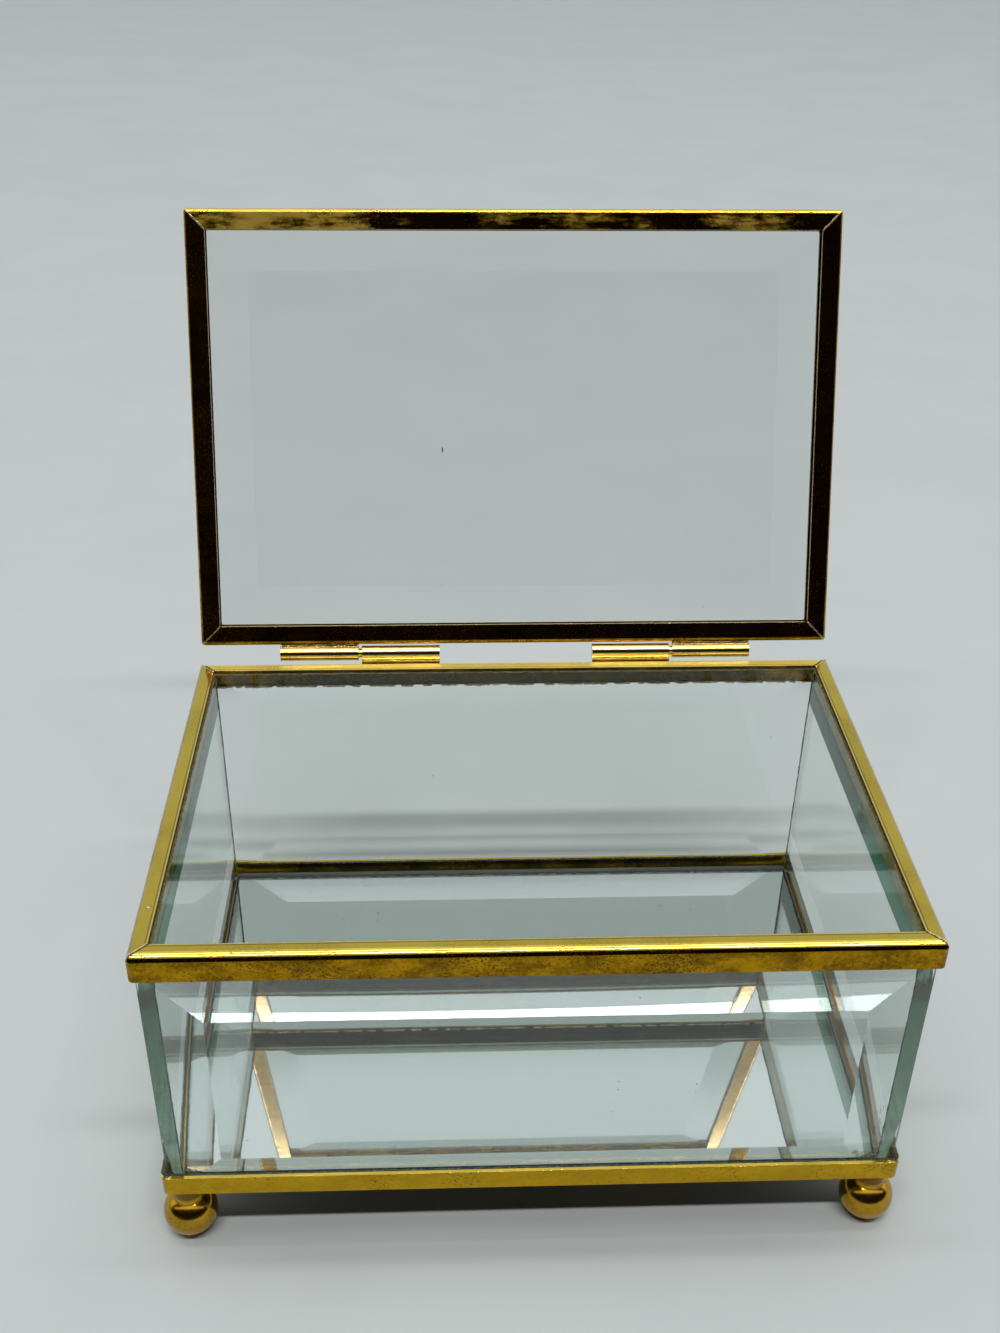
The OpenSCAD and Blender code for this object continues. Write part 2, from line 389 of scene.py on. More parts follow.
def drop(shape, place, lift, radius, height, rng):
    """Sets a flattened drop with an uneven outline on a surface."""
    lift = lift.normalized()
    across = lift.orthogonal().normalized()
    turned = lift.cross(across)
    sides = 12
    rows = 4
    outline = [1.0 + rng.uniform(-DROP_UNEVENNESS, DROP_UNEVENNESS) for _ in range(sides)]
    rings = []
    for row in range(1, rows):
        tilt = math.pi * row / rows
        ring = []
        for step in range(sides):
            angle = 2 * math.pi * step / sides
            flat = across * math.cos(angle) + turned * math.sin(angle)
            reach = radius * outline[step] * math.sin(tilt)
            ring.append(shape.verts.new(place + flat * reach + lift * (height * math.cos(tilt))))
        rings.append(ring)
    top = shape.verts.new(place + lift * height)
    bottom = shape.verts.new(place - lift * height)
    for step in range(sides):
        after = (step + 1) % sides
        shape.faces.new((top, rings[0][step], rings[0][after])).smooth = True
        shape.faces.new((bottom, rings[-1][after], rings[-1][step])).smooth = True
        for first, second in zip(rings, rings[1:]):
            shape.faces.new((first[step], second[step], second[after], first[after])).smooth = True


def line(start, end, steps, rng, stray):
    """Points from start to end, each a little off the line."""
    points = [start.lerp(end, step / steps) for step in range(steps + 1)]
    return [point + Vector([rng.uniform(-stray, stray) for _ in range(3)]) for point in points]


def slab(shape, corners, thickness):
    """A thin closed sheet on four corners, thickened along its normal."""
    normal = (corners[1] - corners[0]).cross(corners[3] - corners[0]).normalized() * thickness
    under = [shape.verts.new(corner) for corner in corners]
    over = [shape.verts.new(corner + normal) for corner in corners]
    shape.faces.new(list(reversed(under)))
    shape.faces.new(over)
    for index in range(4):
        after = (index + 1) % 4
        shape.faces.new((under[index], under[after], over[after], over[index]))


def open_turn():
    """The transform that swings the closed lid to where it stands at rest."""
    axis_point = Vector(LID_HINGE["pos_m"])
    angle = -math.radians(LID_HINGE["range_deg"][1])
    turn = Matrix.Rotation(angle, 4, Vector(LID_HINGE["axis"]))
    return Matrix.Translation(axis_point) @ turn @ Matrix.Translation(-axis_point)


def closed_box(names):
    """Lowest and highest corners of lid nodes, measured with the lid closed."""
    close = open_turn().inverted()
    points = [close @ vertex.co for name in names for vertex in NODES[name].data.vertices]
    low = Vector(min(point[axis] for point in points) for axis in range(3))
    high = Vector(max(point[axis] for point in points) for axis in range(3))
    return low, high


def box_centre():
    """The middle of the rim's top, which is also the middle of the box in plan."""
    front_low, front_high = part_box("rim_front")
    back_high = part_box("rim_back")[1]
    return Vector((0.0, (front_low.y + back_high.y) / 2, front_high.z))


def rim_flange():
    """Width of the rim's strips, seen from above."""
    low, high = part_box("rim_front")
    return high.y - low.y


def inner_faces(graph):
    """1 on upright faces that look towards the middle of the box, less so near its ends."""
    centre = box_centre()
    out = graph.vector("SUBTRACT", graph.place(), (centre.x, centre.y, 0.0))
    level = graph.vector("MULTIPLY", out, (1.0, 1.0, 0.0))
    facing = graph.dot(level, graph.facing())
    from_middle = abs(graph.part(out, "X"))
    near_ends = graph.fade(from_middle, 56 * MM, 64 * MM)
    kept_at_ends = 0.05
    # the mask of the painted shade on inner faces, kept faint near the box's ends
    return graph.fade(0.0 - facing, 2 * MM, 20 * MM) * (1.0 - near_ends * (1.0 - kept_at_ends))


def rim_marks(graph):
    """Where the rim's top has a painted highlight along its inner lip, a line of painted shade beside it,
    and dark joint lines round the mitres.
    """
    centre = box_centre()
    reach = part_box("rim_right")[1].x
    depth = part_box("rim_back")[1].y - centre.y
    flange = rim_flange()
    out = graph.vector("SUBTRACT", graph.place(), (centre.x, centre.y, 0.0))
    past_x = abs(graph.part(out, "X")) - (reach - flange)
    past_y = abs(graph.part(out, "Y")) - (depth - flange)
    inside = past_x.larger(past_y)
    lip_highlight_band = (0.26 * MM, 0.36 * MM)
    edge_shade_band = (0.55 * MM, 0.7 * MM)
    outline_edge = (0.3 * MM, 0.5 * MM)
    # painted highlight along the rim's inner lip
    lip_highlight = 1.0 - graph.fade(inside, *lip_highlight_band)
    # painted shade in a dark line beside the lip
    edge_shade = (1.0 - graph.fade(inside, *edge_shade_band)) * (1.0 - lip_highlight)
    outline = 1.0 - graph.fade(abs(past_x - past_y), *outline_edge)
    return lip_highlight, (edge_shade * 0.55).larger(outline * 0.9)


def brass(
    name, top_colour, side_colour, tarnish_and_shade, roughness, specks,
    painted_shade=None, mottled=1.0, film=0.0, rim=False, dull_top=0.0, collar=None,
):
    """Lacquered brass: painted lighter on top than on its sides, mottled on its sides, specked, scratched
    and soft at its edges.

    top_colour, side_colour and tarnish_and_shade colour its top, its sides and its specks, the top painted
    lighter as sheen and the sides darker as shade, and painted_shade paints shade on its inner faces and,
    off the rim, on faces that look down.
    film is how clouded its lacquer is, dull_top how satin its top, and above collar it is painted dark as
    shade.
    """
    material, graph = new_material(name)
    clouds = graph.noise(70.0, detail=3.0, roughness=0.55)
    patches = graph.noise(230.0, detail=4.0, roughness=0.6, stretch=(0.6, 0.6, 1.0), shift=0.77)
    fine = graph.noise(1100.0, detail=4.0, roughness=0.7, shift=0.31)
    grit = graph.noise(2300.0, detail=2.0, roughness=0.6, shift=0.53)
    up = graph.dot(graph.facing(), (0.0, 0.0, 1.0))
    top = graph.fade(up, 0.55, 0.9)
    mottle = graph.fade(patches * 0.6 + fine * 0.4, 0.38, 0.60)
    blotches = graph.fade(fine * 0.55 + patches * 0.45, 0.66 - specks, 0.74 - specks)
    pepper = graph.fade(grit + clouds * 0.55, 0.95 - specks, 0.99 - specks)
    speck_mask = pepper.larger(blotches * 0.8) * (1.0 - top * 0.75)
    sides = graph.blend(mottle, rgba(side_colour), darker(side_colour, 1.0 - 0.62 * mottled))
    tops = graph.blend(graph.fade(clouds, 0.38, 0.66), rgba(top_colour), darker(top_colour, 0.88))
    if rim:
        lip_highlight_gold = (0.95, 0.80, 0.32, 1.0)
        shade_and_joint_brown = (0.20, 0.105, 0.012, 1.0)
        lip_highlight, shade_and_joint_lines = rim_marks(graph)
        # painted highlight on the inner lip, painted shade beside it, and dark joints round the mitres
        tops = graph.blend(lip_highlight, tops, lip_highlight_gold)
        tops = graph.blend(shade_and_joint_lines, tops, shade_and_joint_brown)
    # painted light: faces that look up take the lighter top colour, upright faces the darker side colour
    body = graph.blend(top, sides, tops)
    colour = graph.blend(speck_mask * 0.85, body, rgba(tarnish_and_shade))
    rough = roughness + mottle * (0.04 * mottled) + speck_mask * 0.2 + top * (0.2 * dull_top)
    metallic = 1.0 - top * dull_top
    if collar is not None:
        # painted shade: above collar the neck darkens to the tarnish_and_shade colour
        neck_shade = graph.fade(graph.part(graph.place(), "Z"), collar, collar + 1.2 * MM)
        colour = graph.blend(neck_shade * 0.8, colour, rgba(tarnish_and_shade))
    if film > 0.0:
        film_gold = (0.66, 0.44, 0.075, 1.0)
        dusty = graph.noise(45.0, detail=5.0, roughness=0.65, shift=1.9)
        side = graph.part(graph.place(), "X")
        streaks = graph.noise(420.0, detail=4.0, roughness=0.7, stretch=(0.25, 1.0, 1.0), shift=2.7)
        cover = graph.fade(dusty * 0.55 + streaks * 0.45 - side * 0.8, 0.47, 0.62) * film
        colour = graph.blend(cover * 0.85, colour, film_gold)
        rough = rough + cover * 0.3
        metallic = 1.0 - cover * 0.5
    # painted shade on inner faces and, off the rim, on faces that look down
    if painted_shade is not None:
        inside = inner_faces(graph)
        if not rim:
            inside = inside.larger(graph.fade(0.0 - up, 0.5, 0.9))
        colour = graph.blend(inside * (0.6 + mottle * 0.38), colour, rgba(painted_shade))
        rough = rough + inside * 0.12
    scratches = graph.noise(900.0, detail=2.0, stretch=(0.05, 0.05, 1.0), shift=0.13)
    edge_round = 0.15 * MM
    edge = graph.add("ShaderNodeBevel", {"samples": 4}, {"Radius": edge_round})
    relief = graph.bump(patches * 0.7 + fine * 0.3, 0.04 * MM, 0.3, edge)
    relief = graph.bump(scratches, 0.01 * MM, 0.3, relief)
    shader = graph.principled({
        "Base Color": colour,
        "Metallic": metallic,
        "Roughness": rough,
        "Normal": relief,
        "Coat Weight": 0.05,
        "Coat Roughness": 0.08,
    })
    graph.surface(shader)
    return material


def plate_glass(
    name, finish, ground=None, upright_edges=False, clear_colour=(0.984, 0.988, 0.987), flat=None,
):
    """Clear plate with a green body, faint smears, ground edges and a light shadow.

    ground colours its ground edges: the upright ones, or else those that look up and down.
    Where flat gives the way that its flat faces look, its bevels are clearer than they are.
    """
    material, graph = new_material(name)
    smears = graph.noise(60.0, detail=5.0, roughness=0.7, stretch=(1.0, 1.0, 0.6))
    haze = graph.fade(smears, 0.55, 0.85)
    clear_colour = rgba(clear_colour)
    if flat is not None:
        level = graph.fade(abs(graph.dot(graph.facing(), flat)), 0.9965, 0.9990)
        clear_colour = graph.blend(level, WHITE, clear_colour)
    clear = graph.principled({
        "Base Color": clear_colour,
        "Roughness": haze * 0.03,
        "IOR": 1.52,
        "Transmission Weight": 1.0,
        "Normal": graph.add("ShaderNodeBevel", {"samples": 4}, {"Radius": 0.12 * MM}),
    })
    passing = graph.add("ShaderNodeBsdfTransparent", values={"Color": (0.984, 0.992, 0.988, 1.0)})
    shadow = graph.add("ShaderNodeLightPath", output="Is Shadow Ray")
    diffuse = graph.add("ShaderNodeLightPath", output="Is Diffuse Ray")
    shader = graph.add("ShaderNodeMixShader", values={0: shadow.larger(diffuse), 1: clear, 2: passing})
    if ground is not None:
        grit = graph.noise(1500.0, detail=3.0, roughness=0.6)
        upward = abs(graph.dot(graph.facing(), (0.0, 0.0, 1.0)))
        if upright_edges:
            edge = 1.0 - graph.fade(upward, 0.1, 0.5)
        else:
            edge = graph.fade(upward, 0.9, 0.97)
        matt = graph.principled({
            "Base Color": graph.blend(graph.fade(grit, 0.35, 0.65), rgba(ground), darker(ground, 0.6)),
            "Roughness": 0.5 + grit * 0.2,
        })
        shader = graph.add("ShaderNodeMixShader", values={0: edge, 1: shader, 2: matt})
    body = graph.add(
        "ShaderNodeVolumeAbsorption",
        values={"Color": rgba(finish.glass_tint), "Density": finish.glass_depth},
    )
    graph.surface(shader, body)
    return material


def silvering(name, finish):
    """The mirror's silver, perished to a dark line at its edges and spotted along the back."""
    material, graph = new_material(name)
    low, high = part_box("floor_mirror")
    fine = graph.noise(520.0, detail=4.0, roughness=0.65)
    place = graph.place()
    from_back = high.y - graph.part(place, "Y")
    from_front = graph.part(place, "Y") - low.y
    from_side = high.x - abs(graph.part(place, "X"))
    spread = (fine - 0.5) * (3.0 * MM)
    back_band = (0.7 * MM, 1.0 * MM)
    thin_band = (0.3 * MM, 0.5 * MM)
    back_edge = 1.0 - graph.fade(from_back + spread, *back_band)
    other_edge = from_side.smaller(from_front)
    thin_edge = 1.0 - graph.fade(other_edge + spread * 0.3, *thin_band)
    spots = graph.fade(fine, 0.70, 0.76)
    perished = back_edge.larger(thin_edge).larger(spots * 0.8)
    bare_paint = (0.035, 0.03, 0.022, 1.0)
    colour = graph.blend(perished, rgba(finish.silver), bare_paint)
    shader = graph.principled({"Base Color": colour, "Metallic": 1.0, "Roughness": 0.01 + perished * 0.4})
    graph.surface(shader)
    return material


def backing_paint(name):
    """Dark paint on the underside of the mirror."""
    material, graph = new_material(name)
    dark_brown = (0.045, 0.035, 0.03, 1.0)
    worn_brown = (0.09, 0.07, 0.055, 1.0)
    grain = graph.noise(300.0, detail=6.0, roughness=0.7)
    colour = graph.blend(graph.fade(grain, 0.35, 0.7), dark_brown, worn_brown)
    relief = graph.bump(grain, 0.05 * MM, 0.6)
    shader = graph.principled({"Base Color": colour, "Roughness": 0.55, "Normal": relief})
    graph.surface(shader)
    return material


def solder(name):
    """Bright scraped solder with dark flux in its pits."""
    material, graph = new_material(name)
    bright = (0.80, 0.68, 0.38, 1.0)
    flux = (0.16, 0.09, 0.02, 1.0)
    fine = graph.noise(1400.0, detail=4.0, roughness=0.7)
    pits = graph.fade(fine, 0.55, 0.66)
    colour = graph.blend(pits, bright, flux)
    shader = graph.principled({
        "Base Color": colour,
        "Metallic": 1.0,
        "Roughness": 0.25 + pits * 0.3,
        "Normal": graph.bump(fine, 0.03 * MM, 0.8),
    })
    graph.surface(shader)
    return material


class CASKET_OT_clear_panes(bpy.types.Operator):
    """Give the five clear panes their plate glass"""

    bl_idname = "casket.clear_panes"
    bl_label = "Clear Panes"

    def execute(self, context):
        finish = context.scene.casket_finish
        walls = plate_glass("bevelled_plate_glass", finish, finish.ground_glass)
        for name in WALL_PANES:
            dress(NODES[name], walls)
        flat = tuple(open_turn().to_3x3() @ UP)
        smoky = (0.925, 0.932, 0.930)
        dress(NODES["lid_glass"], plate_glass("lid_plate_glass", finish, clear_colour=smoky, flat=flat))
        return {"FINISHED"}


class CASKET_OT_mirror_floor(bpy.types.Operator):
    """Give the mirror floor its plate, silvering and backing paint"""

    bl_idname = "casket.mirror_floor"
    bl_label = "Mirror Floor"

    def execute(self, context):
        finish = context.scene.casket_finish
        joints = context.scene.casket_joints
        dark_edge = (0.035, 0.055, 0.04)
        plate = plate_glass("mirror_plate_glass", finish, dark_edge, upright_edges=True)
        dress(NODES["floor_mirror"], plate)
        low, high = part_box("floor_mirror")
        top = low.z - joints.silver_gap

        def sheet(shape):
            made = bmesh.ops.create_cube(shape, size=1.0)
            size = (high.x - low.x, high.y - low.y, joints.silver_thickness)
            middle = ((low.x + high.x) / 2, (low.y + high.y) / 2, top - joints.silver_thickness / 2)
            bmesh.ops.scale(shape, vec=size, verts=made["verts"])
            bmesh.ops.translate(shape, vec=middle, verts=made["verts"])
            for face in shape.faces:
                face.material_index = 0 if face.normal.z > 0.5 else 1

        silver = silvering("mirror_silver", finish)
        piece = new_piece("mirror_silvering", "box", sheet, silver)
        piece.data.materials.append(backing_paint("mirror_backing_paint"))
        return {"FINISHED"}


class CASKET_OT_brass_edging(bpy.types.Operator):
    """Give the base frame, the rim and the lid channel their lacquered brass"""

    bl_idname = "casket.brass_edging"
    bl_label = "Brass Edging"

    def execute(self, context):
        finish = context.scene.casket_finish
        # painted shade on the strips' inner faces
        painted_shade = finish.inner_face_shade
        # each trio: top colour with painted sheen, side colour with painted shade, then tarnish
        golds = (finish.top_sheen_gold, finish.side_shade_gold, finish.tarnish_and_shade)
        # painted highlight: the back rail's top takes a brighter gold than the other tops
        back_highlight_golds = ((1.0, 0.78, 0.16), finish.side_shade_gold, finish.tarnish_and_shade)
        base_golds = (finish.top_sheen_gold, finish.base_gold, finish.tarnish_and_shade)
        # painted shade on the base frame's inner and downward faces
        base_painted_shade = (0.07, 0.055, 0.02)
        rim = brass("rim_brass", *golds, roughness=0.09, specks=0.07, painted_shade=painted_shade, rim=True)
        rim_back = brass(
            "rim_back_brass", *back_highlight_golds, roughness=0.1, specks=0.08, painted_shade=painted_shade, rim=True, dull_top=0.6
        )
        lid = brass("lid_channel_brass", *golds, roughness=0.08, specks=0.06, film=0.02)
        lid_front = brass("lid_front_brass", *golds, roughness=0.08, specks=0.06, film=0.9)
        base = brass(
            "base_frame_brass", *base_golds, roughness=0.13, specks=0.02, painted_shade=base_painted_shade, mottled=0.35
        )
        for name in RIM_SIDES:
            dress(NODES[name], rim_back if name == "rim_back" else rim)
        for name in LID_SIDES:
            dress(NODES[name], lid_front if name == "lid_frame_front" else lid)
        dress(NODES["base_frame"], base)
        return {"FINISHED"}


class CASKET_OT_hinges(bpy.types.Operator):
    """Give the hinge leaves and pins their polished brass"""

    bl_idname = "casket.hinges"
    bl_label = "Hinges"

    def execute(self, context):
        finish = context.scene.casket_finish
        pale = (0.93, 0.72, 0.25)
        golds = (pale, pale, finish.tarnish_and_shade)
        metal = brass("hinge_brass", *golds, roughness=0.15, specks=0.02, mottled=0.4)
        for name in HINGE_PARTS:
            dress(NODES[name], metal)
        return {"FINISHED"}


class CASKET_OT_ball_feet(bpy.types.Operator):
    """Give the turned feet their bright polish"""

    bl_idname = "casket.ball_feet"
    bl_label = "Ball Feet"

    def execute(self, context):
        finish = context.scene.casket_finish
        golds = (finish.foot_gold, finish.foot_gold, finish.tarnish_and_shade)
        # painted shade on each foot's neck above 10.6 mm
        metal = brass("foot_brass", *golds, roughness=0.16, specks=0.0, mottled=0.5, collar=10.6 * MM)
        for name in FEET:
            dress(NODES[name], metal)
        return {"FINISHED"}


def dried_glue(name, colour, roughness, alpha):
    """Old clear glue with bubbles and grit in it."""
    material, graph = new_material(name)
    grit = graph.noise(1300.0, detail=4.0, roughness=0.7)
    bubbles = graph.fade(grit, 0.40, 0.62)
    shader = graph.principled({
        "Base Color": graph.blend(bubbles, rgba(colour), darker(colour, 0.5)),
        "Roughness": roughness + bubbles * 0.2,
        "Alpha": alpha - bubbles * (0.4 * alpha),
        "Normal": graph.bump(grit, 0.03 * MM, 0.6),
    })
    graph.surface(shader)
    return material


def plan_corners(low, high):
    """The four corners of a box in plan, each with the two signs of its place."""
    sides_x = ((-1, low.x), (1, high.x))
    sides_y = ((-1, low.y), (1, high.y))
    return [(Vector((place_x, place_y, 0.0)), x, y) for x, place_x in sides_x for y, place_y in sides_y]


class CASKET_OT_solder_seams(bpy.types.Operator):
    """Run solder along the mitres of the rim and of the lid channel"""

    bl_idname = "casket.solder_seams"
    bl_label = "Solder Seams"

    def execute(self, context):
        joints = context.scene.casket_joints
        rng = random.Random(41)
        metal = solder("corner_solder")

        back = joints.plan_round * (1.0 - math.sqrt(0.5))

        def mitre_bead(shape, corner, x, y, z, flange, lift, turn):
            """Solder in the seam that runs inwards from a corner."""
            start = corner - Vector((x, y, 0.0)) * (back + 0.25 * MM)
            end = corner - Vector((x, y, 0.0)) * (flange + 0.05 * MM)
            start.z = end.z = z
            path = [turn @ point for point in line(start, end, 18, rng, 0.035 * MM)]
            lift = (turn.to_3x3() @ lift).normalized()
            bead(shape, path, lift, joints.seam_width, joints.seam_rise, rng, 0.35)

        def upright_bead(shape, corner, x, y, bottom, top, turn):
            """Solder in the seam down a corner's outer face."""
            start = corner - Vector((x, y, 0.0)) * back
            end = start.copy()
            start.z = top
            end.z = bottom
            path = [turn @ point for point in line(start, end, 14, rng, 0.02 * MM)]
            lift = (turn.to_3x3() @ Vector((x, y, 0.0))).normalized()
            bead(shape, path, lift, joints.seam_width * 0.8, joints.seam_rise * 0.7, rng, 0.35)

        still = Matrix.Identity(4)
        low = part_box("rim_left")[0]
        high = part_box("rim_right")[1]
        flange = rim_flange()

        def rim(shape):
            for corner, x, y in plan_corners(low, high):
                mitre_bead(shape, corner, x, y, high.z, flange, UP, still)
                upright_bead(shape, corner, x, y, low.z + 0.2 * MM, high.z - 1.0 * MM, still)

        new_piece("rim_solder_seams", "box", rim, metal)

        lid_low, lid_high = closed_box(LID_SIDES)
        side_low, side_high = closed_box(["lid_frame_left"])
        lid_flange = side_high.x - side_low.x
        inside = 1.0 * MM
        turn = open_turn()

        def lid(shape):
            for corner, x, y in plan_corners(lid_low, lid_high):
                mitre_bead(shape, corner, x, y, lid_low.z, lid_flange, DOWN, turn)
                mitre_bead(shape, corner, x, y, lid_high.z, lid_flange, UP, turn)
                upright_bead(shape, corner, x, y, lid_low.z + inside, lid_high.z - inside, turn)

        new_piece("lid_solder_seams", "lid", lid, metal)
        return {"FINISHED"}


class CASKET_OT_rim_bedding(bpy.types.Operator):
    """Lay the pale bedding between the rim and the side panes"""

    bl_idname = "casket.rim_bedding"
    bl_label = "Rim Bedding"

    def execute(self, context):
        joints = context.scene.casket_joints
        tarnish_and_shade = context.scene.casket_finish.tarnish_and_shade
        golds = ((0.82, 0.68, 0.34), (0.80, 0.64, 0.27), tarnish_and_shade)
        material = brass("rim_bedding", *golds, roughness=0.35, specks=0.04, mottled=0.4)
        rim_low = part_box("rim_left")[0]
        thickness = 0.01 * MM
        near = 0.01 * MM
        below_top = 0.15 * MM
        margin = 0.3 * MM
        for name, x in (("left_glass", -1), ("right_glass", 1)):
            low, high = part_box(name)
            points = [vertex.co for vertex in NODES[name].data.vertices]
            top_reach = max(x * point.x for point in points if point.z > high.z - near)
            reach = max(x * point.x for point in points)
            line_z = max(point.z for point in points if x * point.x > reach - near)

            def skin(z):
                """The pane's outer face at a height, less the inset."""
                share = (z - line_z) / (high.z - line_z)
                return x * (reach + (top_reach - reach) * max(0.0, share) - joints.bedding_inset)

            top = high.z - below_top
            bottom = rim_low.z + margin
            front = low.y + margin
            back = high.y - margin
            corners = [
                Vector((skin(bottom), front, bottom)),
                Vector((skin(bottom), back, bottom)),
                Vector((skin(top), back, top)),
                Vector((skin(top), front, top)),
            ]
            if x < 0:
                corners.reverse()
            piece = "rim_bedding_" + name.split("_")[0]
            new_piece(piece, "box", lambda shape: slab(shape, corners, -thickness), material)
        return {"FINISHED"}


class CASKET_OT_glue_and_dust(bpy.types.Operator):
    """Add the glue along the strips and in the corners, and a little dust"""

    bl_idname = "casket.glue_and_dust"
    bl_label = "Glue and Dust"

    def execute(self, context):
        joints = context.scene.casket_joints
        rng = random.Random(7)
        rim_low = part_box("rim_left")[0]
        rim_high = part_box("rim_right")[1]
        frame_low, frame_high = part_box("base_frame")
        front_low, front_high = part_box("front_glass")
        back_low, back_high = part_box("back_glass")
        floor_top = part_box("floor_mirror")[1].z
        inner_x = -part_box("left_glass")[1].x
        inner_y = (front_high.y, back_low.y)
        middle_y = (inner_y[0] + inner_y[1]) / 2

        def rim_glue(shape):
            """Broken beads of squeezed-out glue under the rim, along all four sides."""
            z = rim_low.z + 0.15 * MM
            reach_x = front_high.x - 0.25 * MM
            reach_y = (back_high.y - front_low.y) / 2 - 0.35 * MM
            corner_room = 2 * MM
            for sign in (-1, 1):
                for on_x in (True, False):
                    limit = reach_x if on_x else reach_y
                    spot = corner_room - limit
                    last_start = limit - 3 * MM
                    while spot < last_start:
                        length = rng.uniform(1.5, 7.0) * MM
                        end = min(spot + length, limit - corner_room)
                        if on_x:
                            ends = [Vector((at, middle_y + sign * reach_y, z)) for at in (spot, end)]
                        else:
                            ends = [Vector((sign * reach_x, middle_y + at, z)) for at in (spot, end)]
                        steps = max(3, int(length / (0.5 * MM)))
                        size = joints.glue_width * rng.uniform(0.6, 1.1)
                        path = line(*ends, steps, rng, 0.05 * MM)
                        bead(shape, path, DOWN, size, size * 0.5, rng, 0.5, 6)
                        spot = end + rng.uniform(0.2, 2.5) * MM

        def base_glue(shape):
            """Dark glue that fills the joint between the panes and the base frame, thick at its corners."""
            z = frame_high.z - 0.12 * MM
            in_x = frame_high.x - 1.25 * MM
            in_y = (frame_high.y - frame_low.y) / 2 - 1.15 * MM
            over_edge = frame_high.x - 0.68 * MM
            past_corner = in_y + 0.3 * MM
            stray = 0.04 * MM
            for sign in (-1, 1):
                ends = [Vector((x, middle_y + sign * in_y, z)) for x in (-in_x, in_x)]
                bead(shape, line(*ends, 160, rng, stray), UP, 0.7 * MM, 0.22 * MM, rng, 0.3)
                ends = [Vector((sign * over_edge, middle_y + y, z)) for y in (-past_corner, past_corner)]
                bead(shape, line(*ends, 110, rng, stray), UP, 1.6 * MM, 0.3 * MM, rng, 0.1)
                for y in (-in_y, in_y):
                    drop(shape, Vector((sign * in_x, middle_y + y, z)), UP, 1.0 * MM, 0.3 * MM, rng)

        def rim_joint_glue(shape):
            """Brown glue between the rim's inner edge and the tops of the panes."""
            z = rim_high.z - 0.9 * MM
            under = 0.05 * MM
            width = 0.6 * MM
            height = 0.12 * MM
            stray = 0.02 * MM
            for sign, y in zip((-1, 1), inner_y):
                ends = [Vector((x, y - sign * under, z)) for x in (-inner_x, inner_x)]
                bead(shape, line(*ends, 160, rng, stray), UP, width, height, rng, 0.3)
            for sign in (-1, 1):
                ends = [Vector((sign * (inner_x + under), y, z)) for y in inner_y]
                bead(shape, line(*ends, 110, rng, stray), UP, width, height, rng, 0.3)

        def corner_glue(shape):
            """A line of glue up each inner corner."""
            width = joints.corner_glue
            foot = floor_top + 0.1 * MM
            head = rim_high.z - 1.0 * MM
            for x in (-1, 1):
                for y, sign in zip(inner_y, (-1, 1)):
                    lift = Vector((-x, -sign, 0.0)).normalized()
                    proud = lift * 0.04 * MM
                    ends = [Vector((x * inner_x, y, z)) + proud for z in (foot, head)]
                    bead(shape, line(*ends, 60, rng, 0.02 * MM), lift, width, width * 0.35, rng, 0.35, 6)

        def corner_blots(shape):
            """Whitish glue that ran down inside the front right corner, and less of it on the left."""
            height = 0.05 * MM
            off_wall = 0.03 * MM
            front = inner_y[0]
            for x, count, spread in ((1, 16, 11 * MM), (-1, 6, 5 * MM)):
                wall = x * (inner_x - off_wall)
                for _ in range(count):
                    z = floor_top + abs(rng.gauss(0.0, 0.4)) * spread
                    place = Vector((wall, front + abs(rng.gauss(0.0, 0.25)) * spread, z))
                    drop(shape, place, Vector((-x, 0, 0)), rng.uniform(0.25, 0.8) * MM, height, rng)
                    along = wall - x * abs(rng.gauss(0.0, 0.3)) * spread
                    z = floor_top + abs(rng.gauss(0.0, 0.2)) * spread
                    place = Vector((along, front + off_wall, z))
                    drop(shape, place, Vector((0, 1, 0)), rng.uniform(0.2, 0.7) * MM, height, rng)

        def dust(shape):
            """Specks on the back pane's inner face and on the mirror."""
            edge_room = 4 * MM
            for _ in range(16):
                x = rng.uniform(-0.9, 0.9) * inner_x
                z = rng.uniform(floor_top + edge_room, rim_low.z - edge_room)
                place = Vector((x, inner_y[1] - 0.01 * MM, z))
                drop(shape, place, Vector((0, -1, 0)), rng.uniform(0.05, 0.16) * MM, 0.03 * MM, rng)
            for _ in range(30):
                place = Vector((rng.uniform(-0.95, 0.95) * inner_x, rng.uniform(*inner_y), floor_top))
                drop(shape, place, UP, rng.uniform(0.06, 0.2) * MM, 0.04 * MM, rng)

        def lid_dust(shape):
            """Specks on the lid pane, and one short mark."""
            low, high = closed_box(["lid_glass"])
            turn = open_turn()
            lift = turn.to_3x3() @ DOWN
            edge_room = 5 * MM
            spots = []
            for _ in range(10):
                x = rng.uniform(-0.9, 0.9) * high.x
                y = rng.uniform(low.y + edge_room, high.y - edge_room)
                spots.append((x, y, rng.uniform(0.05, 0.14)))
            mark_x = -17.5 * MM
            mark_places = (53.6, 53.85, 54.1, 54.35)
            spots += [(mark_x, low.y + along * MM, 0.22) for along in mark_places]
            for x, y, radius in spots:
                drop(shape, turn @ Vector((x, y, low.z)), lift, radius * MM, 0.03 * MM, rng)

        def rim_pit(shape):
            """A dark pit in the front bend."""
            place = Vector((-57.2 * MM, rim_low.y + 0.5 * MM, rim_high.z - 0.5 * MM))
            drop(shape, place, Vector((0, -1, 1)), 0.6 * MM, 0.14 * MM, rng)

        def solder_drop(shape):
            """A drop of solder on the left strip."""
            place = Vector((rim_low.x + 2.3 * MM, middle_y - 37 * MM, rim_high.z))
            drop(shape, place, UP, 0.6 * MM, 0.1 * MM, rng)

